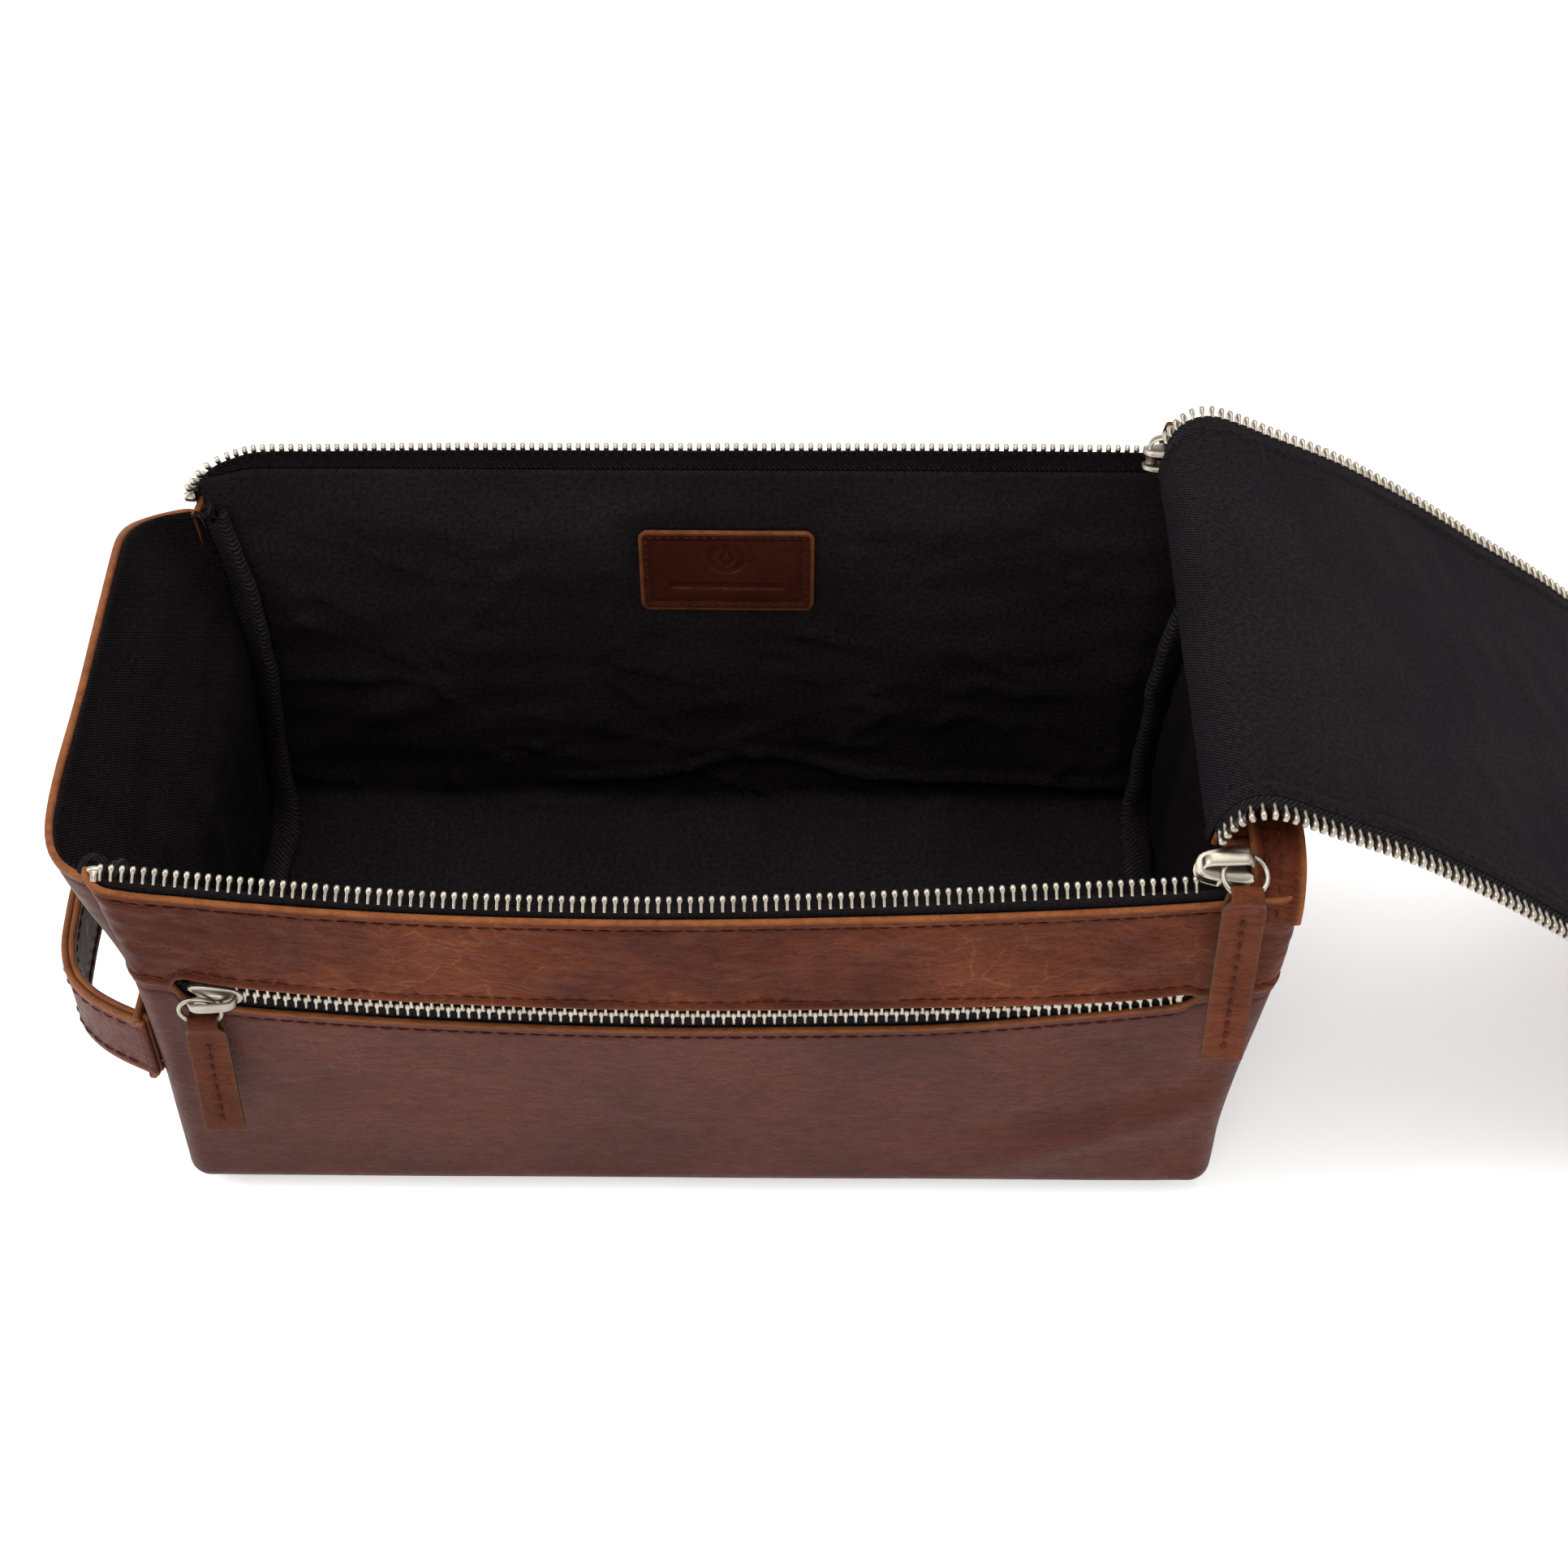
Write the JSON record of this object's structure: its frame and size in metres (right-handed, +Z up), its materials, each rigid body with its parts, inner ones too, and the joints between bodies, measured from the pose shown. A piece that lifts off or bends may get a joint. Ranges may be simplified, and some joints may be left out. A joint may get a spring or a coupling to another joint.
{
  "type": "shaving kit bag",
  "caption": "Leather shaving kit bag standing open, with a zipped folding top flap, a lined compartment, a zipped front pocket and a side handle.",
  "frame": {"origin": "centre of the underside of the base", "axes": "+X to the end where the flap folds over, +Y to the back, +Z up out of the mouth"},
  "size_m": [0.4439, 0.1612, 0.1546],
  "materials": {
    "leather": "satin",
    "edge_leather": "satin",
    "lining": "matte",
    "binding": "matte",
    "zip_metal": "satin"
  },
  "bodies": {
    "bag": {"body_wrap": "leather", "front_band": "leather", "left_side_panel": "leather", "right_side_panel": "leather", "top_end_strip": "leather", "top_end_lining": "lining", "zip_end_covers": "edge_leather", "lining_wrap": "lining", "lining_left": "lining", "lining_right": "lining", "pocket_pouch": "lining", "seam_binding_left": "binding", "seam_binding_right": "binding", "label_patch": "edge_leather", "front_zip_tape": "lining", "back_zip_tape": "lining", "front_zip_teeth": "zip_metal", "back_zip_teeth": "zip_metal", "pocket_zip_tapes": "lining", "pocket_zip_teeth": "zip_metal", "zip_stops": "zip_metal", "handle_tabs": "leather"},
    "handle": {"handle_outer": "leather", "handle_inner": "leather"},
    "front_slider": {"front_slider": "zip_metal"},
    "front_ring": {"front_ring": "zip_metal"},
    "front_pull": {"front_pull": "leather"},
    "back_slider": {"back_slider": "zip_metal"},
    "back_ring": {"back_ring": "zip_metal"},
    "back_pull": {"back_pull": "leather"},
    "pocket_slider": {"pocket_slider": "zip_metal"},
    "pocket_ring": {"pocket_ring": "zip_metal"},
    "pocket_pull": {"pocket_pull": "leather"},
    "flap_1": {"flap_leather_1": "leather", "flap_lining_1": "lining", "flap_teeth_1": "zip_metal"},
    "flap_2": {"flap_leather_2": "leather", "flap_lining_2": "lining", "flap_teeth_2": "zip_metal"},
    "flap_3": {"flap_leather_3": "leather", "flap_lining_3": "lining", "flap_teeth_3": "zip_metal"},
    "flap_4": {"flap_leather_4": "leather", "flap_lining_4": "lining", "flap_teeth_4": "zip_metal"},
    "flap_5": {"flap_leather_5": "leather", "flap_lining_5": "lining", "flap_teeth_5": "zip_metal"}
  },
  "joints": [
    {"name": "front_zip_slide", "type": "slide", "parent": "bag", "child": "front_slider", "axis": [-1, 0, 0], "range_m": [0, 0.2409]},
    {"name": "front_ring_lift", "type": "hinge", "parent": "front_slider", "child": "front_ring", "pos_m": [0.1191, -0.07031, 0.13843], "axis": [-1, 0, 0], "range_deg": [0, 20]},
    {"name": "front_pull_swing", "type": "hinge", "parent": "front_ring", "child": "front_pull", "pos_m": [0.1232, -0.07811, 0.1356], "axis": [-1, 0, 0], "range_deg": [0, 105]},
    {"name": "back_zip_slide", "type": "slide", "parent": "bag", "child": "back_slider", "axis": [-1, 0, 0], "range_m": [0, 0.2409]},
    {"name": "back_ring_lift", "type": "hinge", "parent": "back_slider", "child": "back_ring", "pos_m": [0.1191, 0.07031, 0.13843], "axis": [1, 0, 0], "range_deg": [0, 20]},
    {"name": "back_pull_swing", "type": "hinge", "parent": "back_ring", "child": "back_pull", "pos_m": [0.1232, 0.07811, 0.1356], "axis": [1, 0, 0], "range_deg": [0, 105]},
    {"name": "pocket_zip_slide", "type": "slide", "parent": "bag", "child": "pocket_slider", "axis": [1, 0, 0], "range_m": [0, 0.223]},
    {"name": "pocket_ring_lift", "type": "hinge", "parent": "pocket_slider", "child": "pocket_ring", "pos_m": [-0.112, -0.07462, 0.08976], "axis": [-1, 0, 0], "range_deg": [0, 20]},
    {"name": "pocket_pull_swing", "type": "hinge", "parent": "pocket_ring", "child": "pocket_pull", "pos_m": [-0.1161, -0.07416, 0.08147], "axis": [-1, 0, 0], "range_deg": [0, 105]},
    {"name": "handle_flex", "type": "hinge", "parent": "bag", "child": "handle", "pos_m": [-0.1375, 0, 0.061], "axis": [0, 1, 0], "range_deg": [-18, 25]},
    {"name": "flap_fold", "type": "hinge", "parent": "bag", "child": "flap_1", "pos_m": [0.112, 0, 0.1372], "axis": [0, -1, 0], "range_deg": [0, 122]},
    {"name": "flap_bend_2", "type": "hinge", "parent": "flap_1", "child": "flap_2", "pos_m": [0.12101, 0, 0.15162], "axis": [0, -1, 0], "range_deg": [0, 77]},
    {"name": "flap_bend_3", "type": "hinge", "parent": "flap_2", "child": "flap_3", "pos_m": [0.15316, 0, 0.14055], "axis": [0, -1, 0], "range_deg": [0, 12.5]},
    {"name": "flap_bend_4", "type": "hinge", "parent": "flap_3", "child": "flap_4", "pos_m": [0.19153, 0, 0.11703], "axis": [0, -1, 0], "range_deg": [0, 7]},
    {"name": "flap_bend_5", "type": "hinge", "parent": "flap_4", "child": "flap_5", "pos_m": [0.23848, 0, 0.07968], "axis": [0, -1, 0], "range_deg": [0, 20.92]}
  ],
  "couplings": [
    {"joint": "flap_bend_2", "follows": "flap_fold", "ratio": 0.63114},
    {"joint": "flap_bend_3", "follows": "flap_fold", "ratio": 0.10245},
    {"joint": "flap_bend_4", "follows": "flap_fold", "ratio": 0.05737},
    {"joint": "flap_bend_5", "follows": "flap_fold", "ratio": 0.17148}
  ]
}
